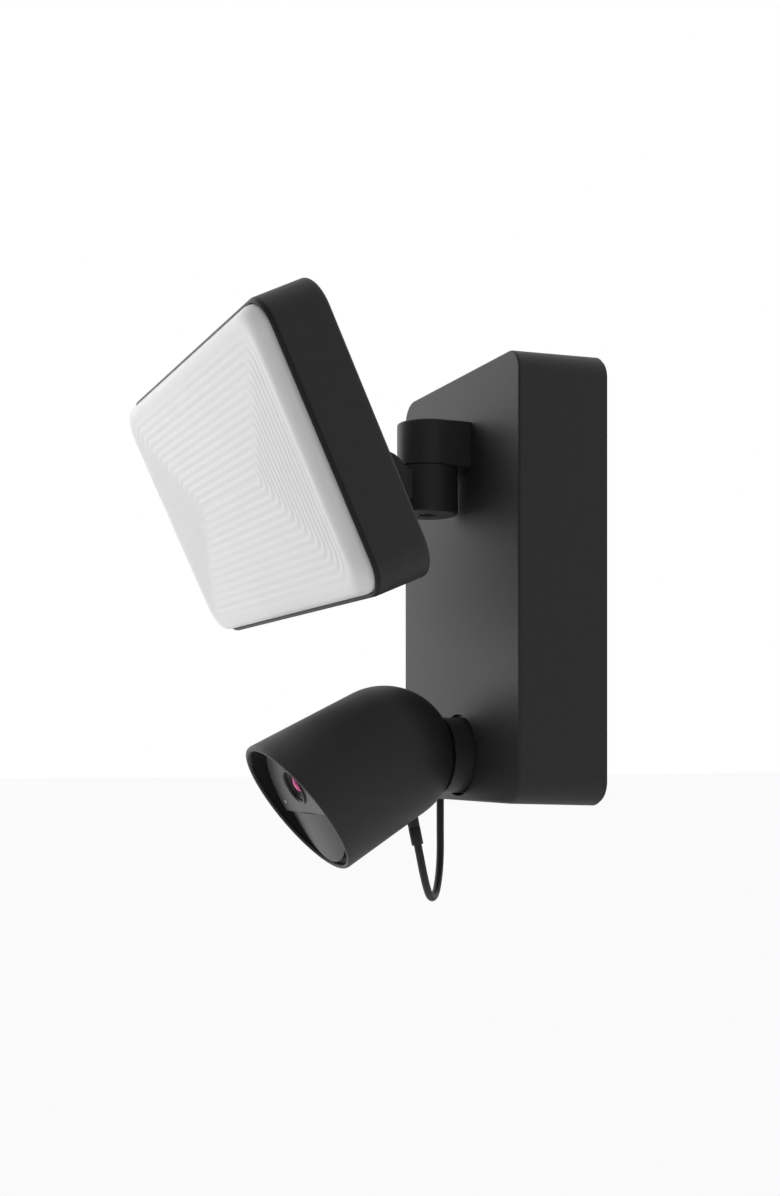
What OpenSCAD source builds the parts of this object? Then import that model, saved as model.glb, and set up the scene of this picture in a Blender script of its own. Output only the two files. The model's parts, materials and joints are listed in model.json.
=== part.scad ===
// Floodlight security camera for an outside wall.
// A wall housing carries an LED floodlight on a two-axis joint and a camera that a magnet
// holds in a cup. Millimetres. The origin is in the wall plane at the middle of the housing,
// X to the right as seen from in front, -Y away from the wall, +Z up.

/* [Wall housing] */
// Width of the housing's front face
box_w = 138.4; // [136:0.2:142]
// Height of the housing's front face
box_h = 230; // [228:1:234]
// Distance from the wall to the front face
box_d = 51.4; // [50.4:0.2:53]
// How much each side leans out between the front face and the wall
box_draft = 1.7; // [1.2:0.1:2]
// Corner radius of the front face
box_r = 11.7; // [10:0.1:14]
// Wall thickness of the cover
cover_t = 3; // [2.6:0.1:3.2]

/* [Floodlight head] */
// Width of the head across its front edge
head_w = 233; // [228:1:240]
// Height of the head across its front edge
head_h = 141.2; // [138:0.2:144]
// Depth of the head's casing
head_d = 29; // [28:0.5:31]
// Corner radius of the head
head_r = 16; // [14:0.5:18]
// Tilt of the head below horizontal, in degrees
head_tilt = 24.9; // [15:0.1:35]
// How far the diffuser stands in front of the casing
diffuser_rise = 7.4; // [5:0.2:8]

/* [Floodlight joint] */
// Distance from the wall to the pan axis
pan_y = 69.4; // [69:0.1:70.5]
// Radius of the barrel that turns under the arm
barrel_r = 16.4; // [15.5:0.1:17]
// Distance from the wall to the tilt axis
tilt_y = 102.9; // [101:0.1:106]
// Height of the tilt axis above the housing's middle
tilt_z = 54.3; // [53:0.1:55]
// Radius of the knuckle and of the yoke's ears
knuckle_r = 13.3; // [12:0.1:13.6]

/* [Camera] */
// Radius of the round rear of the camera
dome_r = 37.1; // [36.6:0.1:37.6]
// Distance from the wall to the middle of the dome
dome_y = 94.9; // [94.4:0.1:96]
// Height of the dome's middle below the housing's middle
dome_drop = 90.5; // [90:0.1:91]
// Tilt of the camera below horizontal, in degrees
cam_tilt = 29.5; // [24:0.1:32]
// Half angle by which the barrel widens towards its rim, in degrees
barrel_taper = 3; // [2:0.1:3.2]
// Length from the middle of the dome to the rim
rim_s = 57; // [56:0.1:58]
// Slant of the rim, which leaves a hood over the lens, in degrees
rim_slant = 8; // [4:0.5:9]

/* [Hidden] */
$fn = 96;
small_fn = 32;

// Clearances: a shaft running in a bore, a screw in its thread, faces that pass each other,
// and a hair's breadth by which joined pieces sink in or close ones stand off
run_fit = 0.05;
thread_fit = 0.05;
face_gap = 0.2;
hair = 0.1;
cut = 1;

// Wall plate, its gasket and what it carries
gasket_t = 1.5;
gasket_inset = 1.2;
gasket_w = 2.6;
plate_t = 3;
plate_gap = 0.5;
wall_hole_x = 50;
wall_hole_z = 95;
wall_hole_r = 2.5;
mains_hole_r = 11;
mains_hole_z = -5;
lug_x = 45;
lug_y = -10;
lug_size = [11, 12, 10];
lug_gap = 0.6;
cover_screw_out = 4;
cover_screw = [1.2, 13];
board_post_x = 38;
board_post_z = [-88, -32];
board_post_r = 3;
board_post_h = 7;
sink = 0.5;
pcb_t = 1.6;

// Works inside the housing; a chip is [x, z, width, height, depth] on its board
supply_size = [64, 28, 84];
supply_z = 60;
supply_foot = [25, 35];
supply_foot_r = 3;
supply_foot_h = 2;
terminal_size = [18, 14, 30];
terminal_xz = [42, -5];
terminal_pitch = 9;
terminal_wire_r = 2;
terminal_screw_r = 1.8;
main_board_size = [92, 66];
main_board_z = -60;
main_chips = [[-18, 8, 14, 14, 1.4], [12, -12, 18, 12, 1.4], [34, 18, 10, 16, 8.2]];
main_caps = [[-34, -20], [-22, -20], [-10, -20]];
main_cap_size = [4, 11];

// Screws: radius of the shank and of the head, and the height of the head
screw_m3 = [1.5, 2.9, 2];
screw_m4 = [2, 3.8, 2.6];

// Light arm and the barrel below it
arm_r = 16.4;
arm_z = 63.9;
arm_h = 23.8;
arm_edge = 1;
arm_screw_x = 9;
arm_screw_l = 15;
arm_bore_l = 19;
barrel_z = 38.9;
barrel_edge = 1.2;
m5_r = 2.5;
m5_head_r = 4.25;
m5_head_h = 5;
hex_r = 2.3;
hex_depth = 2.5;
bolt_recess_r = 4.6;
bolt_recess_h = 5.6;
swivel_bolt_l = 36;
washer_t = 0.8;
washer_r = 10;
knuckle_w = 20;
neck_w = 19;
neck_h = 16;

// Floodlight head, measured from the tilt axis with the head level
head_y = -39.8;
head_z = 22;
head_draft = 0.85;
head_front_edge = 1.5;
head_back_edge = 1.8;
head_back_t = 3;
lip_t = 2.1;
pocket_depth = 8;
inner_wall_t = 6;
diffuser_gap = 0.4;
diffuser_t = 2.6;
diffuser_edge = 4.5;
seal_t = 1.6;
spreader_t = 3;
led_board_size = [196, 104];
led_count = [12, 6];
led_pitch = [16, 17];
led_size = [5, 1, 5];
driver_w = 96;
driver_h = 64;
driver_z = 14;
driver_d = 15.8;
driver_t = 2.5;
driver_r = 9;
driver_rim = 8;
driver_screw = [41, 25];
driver_sink = 3;
driver_chips = [[-6, -12, 22, 16, 4.2], [26, -8, 12, 20, 3]];
driver_caps = [[-26, 12], [-10, 12], [12, 12]];
driver_cap_size = [4.5, 5];
driver_board_gap = 3.4;
yoke_t = 4;
yoke_w = 62;
yoke_h = 28;
yoke_screw = [25, 8];
ear_in = 11;
ear_t = 7.4;
tilt_nut_r = 4.62;
tilt_nut_h = 4;
wire_hole_r = 4;

// Camera collar on the housing
collar_r = 20.4;
collar_hole_r = 22.2;
collar_front = 62.3;
flange_r = 29.5;
flange_t = 2.5;
flange_cut = 20.6;
flange_screw_r = 26.2;
flange_screw = [1.2, 2.2, 1.4];
flange_screw_l = 4.4;
magnet_r = 13;
magnet_t = 5;
magnet_fit = 0.1;
liner_t = 0.75;
liner_rim = 1.4;
liner_hole_r = 9;
cup_gap = 0.3;
cup_back_t = 1.6;

// Camera, measured along its axis from the middle of the dome
shell_t = 3;
mouth_r = 34.6;
mouth_flare = 2.7;
mouth_past = [2, 20];
ledge_r = 32;
ledge_t = 3;
face_s = 52;
face_t = 3;
chassis_t = 1.5;
split_up = -5;
split_gap = 0.15;
pir_bow_r = 200;
pir_rise = 0.4;
lens_up = 11;
lens_r = 10.3;
lens_bezel_w = 1.7;
lens_rise = 1;
board_s = 30;
board_r = 28;
post_xy = 17;
post_r = 2.2;
pir_sensor_up = -19;
pir_sensor_r = [4.6, 4.1];
pir_sensor_h = 12;
pir_view_r = 7;
speaker_at = [0, -26, 19.5];
speaker_r = [10, 6];
speaker_t = 3.2;
magnet_out = 2.5;
microphone_at = [20, -4];
microphone_size = [4, 3, 1.2];
status_x = -28;
status_up = 0.6;
status_r = 1;
barrel_set_back = 0.6;
image_s = 40;
image_board_w = 25;
image_plug = [12, 8, 1.5];
glass_s = 49.5;
glass_r = 5.6;
glass_rise = 2.2;
glass_bow_r = 9.5;
lens_bore_r = 4.6;
lens_mouth_r = 8;
lens_base_t = 1;
camera_chips = [[4, -6, 16, 16, 1.4], [-14, 12, 10, 8, 1]];

// Steel keeper inside the dome, on the camera's own upright axis
keeper_r = 33.7;
keeper_t = 2;
keeper_half = 30;
strap_r = 26;
strap_t = 2.4;
strap_w = 8;
keeper_pin_r = 2;
keeper_pin_l = 4.5;
keeper_stem_r = 5;
keeper_ring_w = 3;
keeper_boss_r = 4.5;
socket_r = 6.2;

// Camera lead: the plug leans forwards about a point on the camera's upright axis
plug_r = 3.2;
plug_tip_r = 1.75;
plug_tip_l = 7;
plug_l = 22.5;
plug_lean = 17;
plug_pivot = 30;
plug_gap = 0.3;
socket_gap = 0.9;
cable_r = 2.15;
grommet_xy = [-41, -42];
grommet_r = 4.2;
grommet_out = 0.7;
grommet_gap = 0.3;
grommet_collar = [1.4, 2];
cable_route = [
    [0, -75.1, -139.1], [-0.2, -73.9, -144.2], [-1.3, -72.3, -149.5], [-3.6, -70.1, -154.8],
    [-7.2, -67.2, -160.1], [-11.6, -63.9, -164.6], [-16.2, -60.5, -167.9], [-21, -56.8, -169.8],
    [-25.8, -53.1, -169.5], [-30.3, -49.6, -167], [-34.2, -46.7, -162.5], [-37.3, -44.4, -156.7],
    [-39.6, -42.8, -149.9], [-40.7, -42.1, -142.7], [-41, -42, -134], [-41, -42, -125],
    [-41, -42, -115.6]];
cable_sides = 8;

// Derived values
box_edge = 1.2;
cover_d = box_d - gasket_t;
lug_z = lug_size[2] / 2 + lug_gap + cover_t - box_h / 2;
dome_c = [0, -dome_y, -dome_drop];
face_back = face_s - face_t;
chassis_back = face_back - chassis_t;
ledge_back = chassis_back - ledge_t;
taper_slope = tan(barrel_taper);
cone_r0 = dome_r / cos(barrel_taper);
diffuser_w = head_w - 2 * (lip_t + diffuser_gap);
diffuser_h = head_h - 2 * (lip_t + diffuser_gap);
diffuser_r = head_r - lip_t - diffuser_gap;
head_front = head_y - head_d;
pocket_back = head_front + pocket_depth;
spreader_y = head_y - head_back_t;
led_board_y = spreader_y - spreader_t;
led_y = led_board_y - pcb_t;
driver_y = head_y + driver_d;
liner_r = dome_r + cup_gap + liner_t;
magnet_y = -(dome_y - liner_r - face_gap - cup_back_t);
socket_in = 20;

// ---- Shared shapes ----

// Half of a block's section: half width a at the front, wider by g at the back, depth d,
// with its front edge rounded by e and its back edge by b
module edge_profile(a, d, g, e, b = 0) {
    front = a + g * e / d;
    back = a + g * (d - b) / d;
    polygon([[0, 0], [back - b, 0], [back, b], [front, d - e], [front - e, d], [0, d]]);
    translate([front - e, d - e]) circle(e, $fn = small_fn);
    if (b > 0) translate([back - b, b]) circle(b, $fn = small_fn);
}

module both_sides() {
    children();
    mirror([1, 0]) children();
}

// Block with round corners whose back lies at y = 0 and whose front lies at y = -d
module drafted_block(w, h, d, r, g, e, b = 0) {
    rotate([90, 0, 0]) {
        rotate([90, 0, 0]) linear_extrude(h - 2 * r, center = true)
            both_sides() edge_profile(w / 2, d, g, e, b);
        rotate([90, 0, 90]) linear_extrude(w - 2 * r, center = true)
            both_sides() edge_profile(h / 2, d, g, e, b);
        for (i = [0:3]) {
            sx = (i == 0 || i == 3) ? 1 : -1;
            sy = i < 2 ? 1 : -1;
            translate([sx * (w / 2 - r), sy * (h / 2 - r), 0]) rotate([0, 0, 90 * i])
                rotate_extrude(angle = 90) edge_profile(r, d, g, e, b);
        }
    }
}

module rounded_rect(w, h, r) {
    square([w, h - 2 * r], center = true);
    square([w - 2 * r, h], center = true);
    for (x = [-1, 1], y = [-1, 1])
        translate([x * (w / 2 - r), y * (h / 2 - r)]) circle(r);
}

// Plate with round corners from y = y0 forwards to y = y0 - t
module slab(w, h, t, r, y0) {
    translate([0, y0, 0]) rotate([90, 0, 0]) linear_extrude(t) rounded_rect(w, h, r);
}

// Cylinder along -Y from y = y0, and the same at the full smoothness
module rod_y(r, l, y0) {
    translate([0, y0, 0]) rotate([90, 0, 0]) cylinder(r = r, h = l, $fn = small_fn);
}

module rod_y_fine(r, l, y0) {
    translate([0, y0, 0]) rotate([90, 0, 0]) cylinder(r = r, h = l);
}

// Parts that stand on a board whose front face lies at y = y0
module chips(list, y0) {
    for (c = list) translate([c[0], y0 - c[4] / 2 + hair, c[1]]) cube([c[2], c[4], c[3]], center = true);
}

module caps(list, size, y0) {
    for (c = list) translate([c[0], 0, c[1]]) rod_y(size[0], size[1], y0 + hair);
}

// Screw whose head sits at the origin and whose shank runs along -Y
module screw_y(size, l) {
    difference() {
        rod_y(size[1], size[2], size[2]);
        rod_y(size[0] * 0.6, size[2] * 0.6, size[2] + 0.01);
    }
    rod_y(size[0] - thread_fit, l, 0.5);
}

module in_head() {
    translate([0, -tilt_y, tilt_z]) rotate([head_tilt, 0, 0]) children();
}

// The camera's frame: x to the right, y up and z along the line of sight
module in_camera() {
    translate(dome_c) rotate([cam_tilt, 0, 0]) rotate([90, 0, 0]) children();
}

// The plug's frame: z runs out of the camera along the plug
module in_plug() {
    in_camera() translate([0, -plug_pivot, 0]) rotate([90 - plug_lean, 0, 0]) children();
}

module four(xz) {
    for (x = [-1, 1], z = [-1, 1]) translate([x * xz[0], 0, z * xz[1]]) children();
}

// ---- Wall housing ----

module wall_plate() {
    color("#8d9094") difference() {
        union() {
            slab(box_w - 2 * (cover_t + plate_gap), box_h - 2 * (cover_t + plate_gap), plate_t,
                box_r - cover_t, 0);
            for (s = [-1, 1])
                translate([s * lug_x, -plate_t + sink - lug_size[1] / 2, lug_z])
                    cube(lug_size, center = true);
            for (x = [-1, 1], z = board_post_z) translate([x * board_post_x, 0, z])
                rod_y(board_post_r, board_post_h, -plate_t + sink);
        }
        four([wall_hole_x, wall_hole_z]) rod_y(wall_hole_r, plate_t + 2 * cut, cut);
        translate([0, 0, mains_hole_z]) rod_y(mains_hole_r, plate_t + 2 * cut, cut);
        for (s = [-1, 1]) translate([s * lug_x, lug_y, -box_h / 2])
            cylinder(r = screw_m3[0], h = 2 * lug_size[2], $fn = small_fn);
    }
}

module wall_gasket() {
    w = box_w + 2 * (box_draft - gasket_inset);
    h = box_h + 2 * (box_draft - gasket_inset);
    color("#202022") difference() {
        slab(w, h, gasket_t, box_r, 0);
        slab(w - 2 * gasket_w, h - 2 * gasket_w, gasket_t + 2 * cut, box_r - gasket_w, cut);
    }
}

module housing_cover() {
    color("#2b2b2d") difference() {
        translate([0, -gasket_t, 0])
            drafted_block(box_w, box_h, cover_d, box_r, box_draft, box_edge);
        slab(box_w - 2 * cover_t, box_h - 2 * cover_t, box_d - cover_t, box_r - cover_t, 0);
        translate([0, 0, -dome_drop]) rod_y(collar_hole_r, 2 * cover_t, -box_d + cover_t + cut);
        for (a = [0, 90, 180]) translate([flange_screw_r * cos(a), 0, flange_screw_r * sin(a) - dome_drop])
            rod_y(flange_screw[0], cover_t - 1, -box_d + cover_t + hair);
        for (x = [-1, 1]) translate([x * arm_screw_x, 0, arm_z + arm_h / 2])
            rod_y(screw_m4[0] + 0.2, 2 * cover_t, -box_d + cover_t + cut);
        translate([grommet_xy[0], grommet_xy[1], -box_h / 2 - 3])
            cylinder(r = grommet_r, h = 2 * cover_t + 3, $fn = small_fn);
        for (s = [-1, 1]) translate([s * lug_x, lug_y, -box_h / 2 - cover_screw_out]) {
            cylinder(r = screw_m3[0] + 0.3, h = 10, $fn = small_fn);
            cylinder(r = screw_m3[1] + 0.4, h = cover_screw_out, $fn = small_fn);
        }
    }
}

module cover_screws() {
    color("#9a9ca0") for (s = [-1, 1]) translate([s * lug_x, lug_y, -box_h / 2]) {
        translate([0, 0, -cover_screw[0]]) difference() {
            cylinder(r = screw_m3[1], h = cover_screw[0], $fn = small_fn);
            translate([0, 0, -cut]) cylinder(r = screw_m3[0] * 0.6, h = cut + cover_screw[0] / 2, $fn = 6);
        }
        translate([0, 0, -cover_screw[0] / 3])
            cylinder(r = screw_m3[0] - thread_fit, h = cover_screw[1], $fn = small_fn);
    }
}

module power_supply() {
    color("#3a3d42") translate([0, 0, supply_z]) {
        slab(supply_size[0], supply_size[2], supply_size[1], 4, -plate_t - supply_foot_h);
        four(supply_foot) rod_y(supply_foot_r, supply_foot_h + sink, -plate_t);
    }
}

module terminal_block() {
    color("#d8d6cc") translate([terminal_xz[0], -plate_t, terminal_xz[1]]) difference() {
        translate([0, -terminal_size[1] / 2, 0]) cube(terminal_size, center = true);
        for (z = [-1:1]) translate([0, 0, z * terminal_pitch]) {
            translate([-terminal_size[0], -terminal_size[1] * 0.45, 0]) rotate([0, 90, 0])
                cylinder(r = terminal_wire_r, h = 2 * terminal_size[0], $fn = small_fn);
            rod_y(terminal_screw_r, terminal_size[1], -terminal_size[1] * 0.55);
        }
    }
}

module main_board() {
    y0 = -plate_t + sink - board_post_h;
    color("#1f5a36") translate([0, 0, main_board_z]) {
        slab(main_board_size[0], main_board_size[1], pcb_t, 3, y0);
        chips(main_chips, y0 - pcb_t);
        caps(main_caps, main_cap_size, y0 - pcb_t);
    }
}

module light_arm() {
    top = arm_z + arm_h;
    color("#262628") difference() {
        union() {
            translate([0, -pan_y, arm_z]) rotate([0, 0, 180])
                rotate_extrude(angle = 180) arm_profile();
            translate([0, -box_d, arm_z]) rotate([90, 0, 0]) linear_extrude(pan_y - box_d)
                both_sides() arm_profile();
        }
        translate([0, -pan_y, arm_z - cut]) cylinder(r = m5_r, h = arm_bore_l + cut, $fn = small_fn);
        for (x = [-1, 1]) translate([x * arm_screw_x, 0, arm_z + arm_h / 2])
            rod_y(screw_m4[0], arm_screw_l - 2, -box_d + cut);
    }
}

module arm_profile() {
    square([arm_r - arm_edge, arm_h]);
    translate([0, arm_edge]) square([arm_r, arm_h - 2 * arm_edge]);
    for (z = [arm_edge, arm_h - arm_edge])
        translate([arm_r - arm_edge, z]) circle(arm_edge, $fn = small_fn);
}

module arm_screws() {
    color("#9a9ca0") for (x = [-1, 1])
        translate([x * arm_screw_x, -box_d + cover_t, arm_z + arm_h / 2]) screw_y(screw_m4, arm_screw_l - 1);
}

module swivel_bolt() {
    z0 = barrel_z + bolt_recess_h - m5_head_h - 0.1;
    color("#6f7276") translate([0, -pan_y, z0]) difference() {
        union() {
            cylinder(r = m5_head_r, h = m5_head_h, $fn = small_fn);
            cylinder(r = m5_r - thread_fit, h = swivel_bolt_l, $fn = small_fn);
        }
        translate([0, 0, -cut]) cylinder(r = hex_r, h = hex_depth + cut, $fn = 6);
    }
}

module at_flange_screws() {
    for (a = [0, 90, 180])
        translate([flange_screw_r * cos(a), -box_d + cover_t, flange_screw_r * sin(a) - dome_drop])
            children();
}

module camera_collar() {
    color("#262628") difference() {
        translate([0, -box_d + cover_t, -dome_drop]) {
            rod_y_fine(collar_r, collar_front - box_d + cover_t, 0);
            intersection() {
                rod_y_fine(flange_r, flange_t, flange_t);
                translate([-flange_r, 0, -flange_cut]) cube([2 * flange_r, flange_t, 2 * flange_r]);
            }
        }
        translate(dome_c) sphere(liner_r + hair / 2);
        translate([0, 0, -dome_drop])
            rod_y_fine(magnet_r + magnet_fit, 4 * magnet_t, magnet_y + 4 * magnet_t);
        at_flange_screws() rod_y(flange_screw[0] + face_gap, 4 * flange_t, 2 * flange_t);
    }
}

module collar_screws() {
    color("#9a9ca0") at_flange_screws() translate([0, flange_t, 0]) screw_y(flange_screw, flange_screw_l);
}

module collar_magnet() {
    color("#b4b6ba") translate([0, 0, -dome_drop]) rod_y_fine(magnet_r, magnet_t, magnet_y + magnet_t);
}

module cup_liner() {
    color("#1b1b1c") translate(dome_c) rotate([-90, 0, 0]) rotate_extrude() intersection() {
        difference() {
            circle(liner_r);
            circle(dome_r + cup_gap);
        }
        translate([liner_hole_r, 0]) square([collar_r - liner_rim - liner_hole_r, 2 * dome_r]);
    }
}

module cable_grommet() {
    z_out = -box_h / 2 - grommet_out;
    collar_z = grommet_out + cover_t + grommet_gap;
    color("#161617") translate([grommet_xy[0], grommet_xy[1], z_out]) difference() {
        union() {
            cylinder(r = grommet_r - hair, h = collar_z + cut, $fn = small_fn);
            translate([0, 0, collar_z])
                cylinder(r = grommet_r + grommet_collar[0], h = grommet_collar[1], $fn = small_fn);
        }
        translate([0, 0, -cut]) cylinder(r = cable_r + 0.02, h = 3 * cover_t, $fn = small_fn);
    }
}

// Ring of points square to the route at point i
function unit(v) = v / norm(v);
function route_dir(p, i) = unit(p[min(i + 1, len(p) - 1)] - p[max(i - 1, 0)]);
function ring(c, d, r, n) = let (
        a = unit(cross(d, [0.9, -0.3, 0.2])),
        b = cross(d, a))
    [for (k = [0:n - 1]) c + r * (cos(360 * k / n) * a + sin(360 * k / n) * b)];

module tube(p, r, n) {
    last = (len(p) - 1) * n;
    points = [for (i = [0:len(p) - 1]) each ring(p[i], route_dir(p, i), r, n)];
    walls = [for (i = [0:len(p) - 2], k = [0:n - 1]) let (k2 = (k + 1) % n)
        each [[i * n + k, (i + 1) * n + k2, i * n + k2], [i * n + k, (i + 1) * n + k, (i + 1) * n + k2]]];
    polyhedron(points, concat([[for (k = [0:n - 1]) k]], walls, [[for (k = [n - 1:-1:0]) last + k]]));
}

module camera_cable() {
    color("#161617") tube(cable_route, cable_r, cable_sides);
}

// ---- Floodlight swivel ----

module swivel_barrel() {
    color("#262628") translate([0, -pan_y, 0]) difference() {
        union() {
            translate([0, 0, barrel_z]) rotate_extrude() {
                translate([0, barrel_edge]) square([barrel_r, arm_z - 0.3 - barrel_z - barrel_edge]);
                square([barrel_r - barrel_edge, barrel_edge + 1]);
                translate([barrel_r - barrel_edge, barrel_edge]) circle(barrel_edge, $fn = small_fn);
            }
            translate([-neck_w / 2, pan_y - tilt_y, tilt_z - neck_h / 2 - 1])
                cube([neck_w, tilt_y - pan_y, neck_h]);
            translate([-knuckle_w / 2, pan_y - tilt_y, tilt_z]) rotate([0, 90, 0])
                cylinder(r = knuckle_r, h = knuckle_w);
        }
        translate([0, 0, barrel_z - cut]) cylinder(r = m5_r + run_fit, h = 40, $fn = small_fn);
        translate([0, 0, barrel_z - cut])
            cylinder(r = bolt_recess_r, h = bolt_recess_h + cut, $fn = small_fn);
        translate([0, 0, arm_z - 0.3 - washer_t]) cylinder(r = washer_r + 0.1, h = 2 * cut);
        translate([-knuckle_w, pan_y - tilt_y, tilt_z]) rotate([0, 90, 0])
            cylinder(r = m5_r + run_fit, h = 2 * knuckle_w, $fn = small_fn);
    }
}

module swivel_washer() {
    color("#c9c9c4") translate([0, -pan_y, arm_z - 0.3 - washer_t]) difference() {
        cylinder(r = washer_r, h = washer_t + 0.1);
        translate([0, 0, -cut]) cylinder(r = m5_r + 0.3, h = 2 * cut + washer_t, $fn = small_fn);
    }
}

// ---- Floodlight head ----

module head_housing() {
    color("#2b2b2d") in_head() difference() {
        translate([0, head_y, head_z])
            drafted_block(head_w, head_h, head_d, head_r, head_draft, head_front_edge, head_back_edge);
        translate([0, 0, head_z]) {
            slab(head_w - 2 * lip_t, head_h - 2 * lip_t, pocket_depth + cut, head_r - lip_t, pocket_back);
            slab(head_w - 2 * inner_wall_t, head_h - 2 * inner_wall_t, head_d,
                head_r - inner_wall_t, spreader_y);
        }
        translate([0, 0, driver_z]) {
            rod_y(wire_hole_r, head_d, head_y + cut);
            four(driver_screw) rod_y(screw_m3[0], head_back_t - 2 * face_gap + cut, head_y + cut);
        }
    }
}

module driver_cover() {
    color("#2b2b2d") in_head() translate([0, 0, driver_z]) difference() {
        translate([0, driver_y, 0]) rotate([0, 0, 180]) translate([0, driver_d, 0])
            drafted_block(driver_w, driver_h, driver_d, driver_r, 0.6, driver_t);
        slab(driver_w - 2 * driver_rim, driver_h - 4 * driver_t, driver_d - driver_t,
            driver_r - 4, driver_y - driver_t);
        four(driver_screw) {
            rod_y(screw_m3[0] + face_gap, 2 * driver_d, driver_y + cut);
            rod_y(screw_m3[1] + 0.3, driver_sink + cut, driver_y + cut);
        }
        translate([0, 0, -driver_z]) four(yoke_screw) rod_y(screw_m3[0], driver_d, driver_y + cut);
    }
}

module driver_screws() {
    color("#9a9ca0") in_head() translate([0, driver_y - driver_sink, driver_z])
        four(driver_screw) screw_y(screw_m3, driver_d - driver_sink + 2);
}

module driver_board() {
    y0 = driver_y - driver_t - driver_board_gap;
    color("#1f5a36") in_head() translate([0, 0, driver_z]) {
        slab(driver_w - 2 * driver_rim - 2, driver_h - 4 * driver_t - 2, pcb_t, 4, y0);
        chips(driver_chips, y0 - pcb_t);
        caps(driver_caps, driver_cap_size, y0 - pcb_t);
    }
}

module head_yoke() {
    color("#262628") in_head() difference() {
        union() {
            slab(yoke_w, yoke_h, yoke_t, 5, driver_y + yoke_t);
            for (s = [-1, 1]) translate([s > 0 ? ear_in : -ear_in - ear_t, 0, 0]) {
                rotate([0, 90, 0]) cylinder(r = knuckle_r, h = ear_t);
                translate([0, driver_y + 1, -knuckle_r]) cube([ear_t, -driver_y - 1, 2 * knuckle_r]);
            }
        }
        translate([-yoke_w, 0, 0]) rotate([0, 90, 0])
            cylinder(r = m5_r + thread_fit, h = 2 * yoke_w, $fn = small_fn);
        translate([ear_in + ear_t - m5_head_h + 0.8, 0, 0]) rotate([0, 90, 0])
            cylinder(r = m5_head_r + 0.2, h = 10, $fn = small_fn);
        translate([-ear_in - ear_t - cut, 0, 0]) rotate([0, 90, 0])
            cylinder(r = tilt_nut_r + 0.1, h = tilt_nut_h + cut + 0.1, $fn = 6);
        four(yoke_screw) rod_y(screw_m3[0] + face_gap, 2 * yoke_t, driver_y + yoke_t + cut);
    }
}

module yoke_screws() {
    color("#9a9ca0") in_head() translate([0, driver_y + yoke_t, 0])
        four(yoke_screw) screw_y(screw_m3, yoke_t + 2.2);
}

module tilt_bolt() {
    head_x = ear_in + ear_t - m5_head_h + 0.9;
    tail_x = -ear_in - ear_t + 0.3;
    color("#6f7276") in_head() difference() {
        union() {
            translate([head_x, 0, 0]) rotate([0, 90, 0])
                cylinder(r = m5_head_r, h = m5_head_h - 1, $fn = small_fn);
            translate([tail_x, 0, 0]) rotate([0, 90, 0])
                cylinder(r = m5_r, h = head_x - tail_x + 1, $fn = small_fn);
        }
        translate([head_x + m5_head_h - 1 - hex_depth, 0, 0]) rotate([0, 90, 0])
            cylinder(r = hex_r, h = 10, $fn = 6);
    }
}

module tilt_nut() {
    color("#8f9296") in_head() translate([-ear_in - ear_t + 0.05, 0, 0]) rotate([0, 90, 0]) difference() {
        cylinder(r = tilt_nut_r, h = tilt_nut_h, $fn = 6);
        translate([0, 0, -cut]) cylinder(r = m5_r + 0.02, h = 2 * tilt_nut_h, $fn = small_fn);
    }
}

module tilt_washers() {
    color("#c9c9c4") in_head() for (s = [-1, 1])
        translate([s * (ear_in - 0.05 - washer_t / 2), 0, 0]) rotate([0, 90, 0]) difference() {
            cylinder(r = washer_r + 1, h = washer_t, center = true);
            cylinder(r = m5_r + 0.1, h = 4, center = true, $fn = small_fn);
        }
}

module heat_spreader() {
    color("#b9bcc0") in_head() translate([0, 0, head_z]) difference() {
        slab(head_w - 2 * inner_wall_t - 2, head_h - 2 * inner_wall_t - 2, spreader_t,
            head_r - inner_wall_t - 1, spreader_y);
        translate([0, 0, driver_z - head_z]) rod_y(wire_hole_r, 10, spreader_y + cut);
    }
}

module led_board() {
    color("#e6e6e2") in_head() translate([0, 0, head_z]) difference() {
        slab(led_board_size[0], led_board_size[1], pcb_t, 4, led_board_y);
        translate([0, 0, driver_z - head_z]) rod_y(wire_hole_r - 1, 10, led_board_y + cut);
    }
}

module leds() {
    color("#f0dc82") in_head() for (i = [0:led_count[0] - 1], j = [0:led_count[1] - 1])
        translate([(i - (led_count[0] - 1) / 2) * led_pitch[0], led_y - led_size[1] / 2,
            head_z + (j - (led_count[1] - 1) / 2) * led_pitch[1]]) cube(led_size, center = true);
}

module diffuser() {
    depth = diffuser_rise + pocket_depth - seal_t;
    color("#f2f3f1") in_head() translate([0, pocket_back - seal_t, head_z]) difference() {
        drafted_block(diffuser_w, diffuser_h, depth, diffuser_r, 0, diffuser_edge);
        slab(diffuser_w - 2 * diffuser_t, diffuser_h - 2 * diffuser_t, depth - diffuser_t + cut,
            diffuser_r - diffuser_t, cut);
    }
}

module diffuser_seal() {
    color("#1b1b1c") in_head() translate([0, 0, head_z]) difference() {
        slab(diffuser_w, diffuser_h, seal_t, diffuser_r, pocket_back);
        slab(head_w - 2 * inner_wall_t, head_h - 2 * inner_wall_t, 4 * seal_t,
            head_r - inner_wall_t, pocket_back + seal_t);
    }
}

// ---- Camera ----

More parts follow.
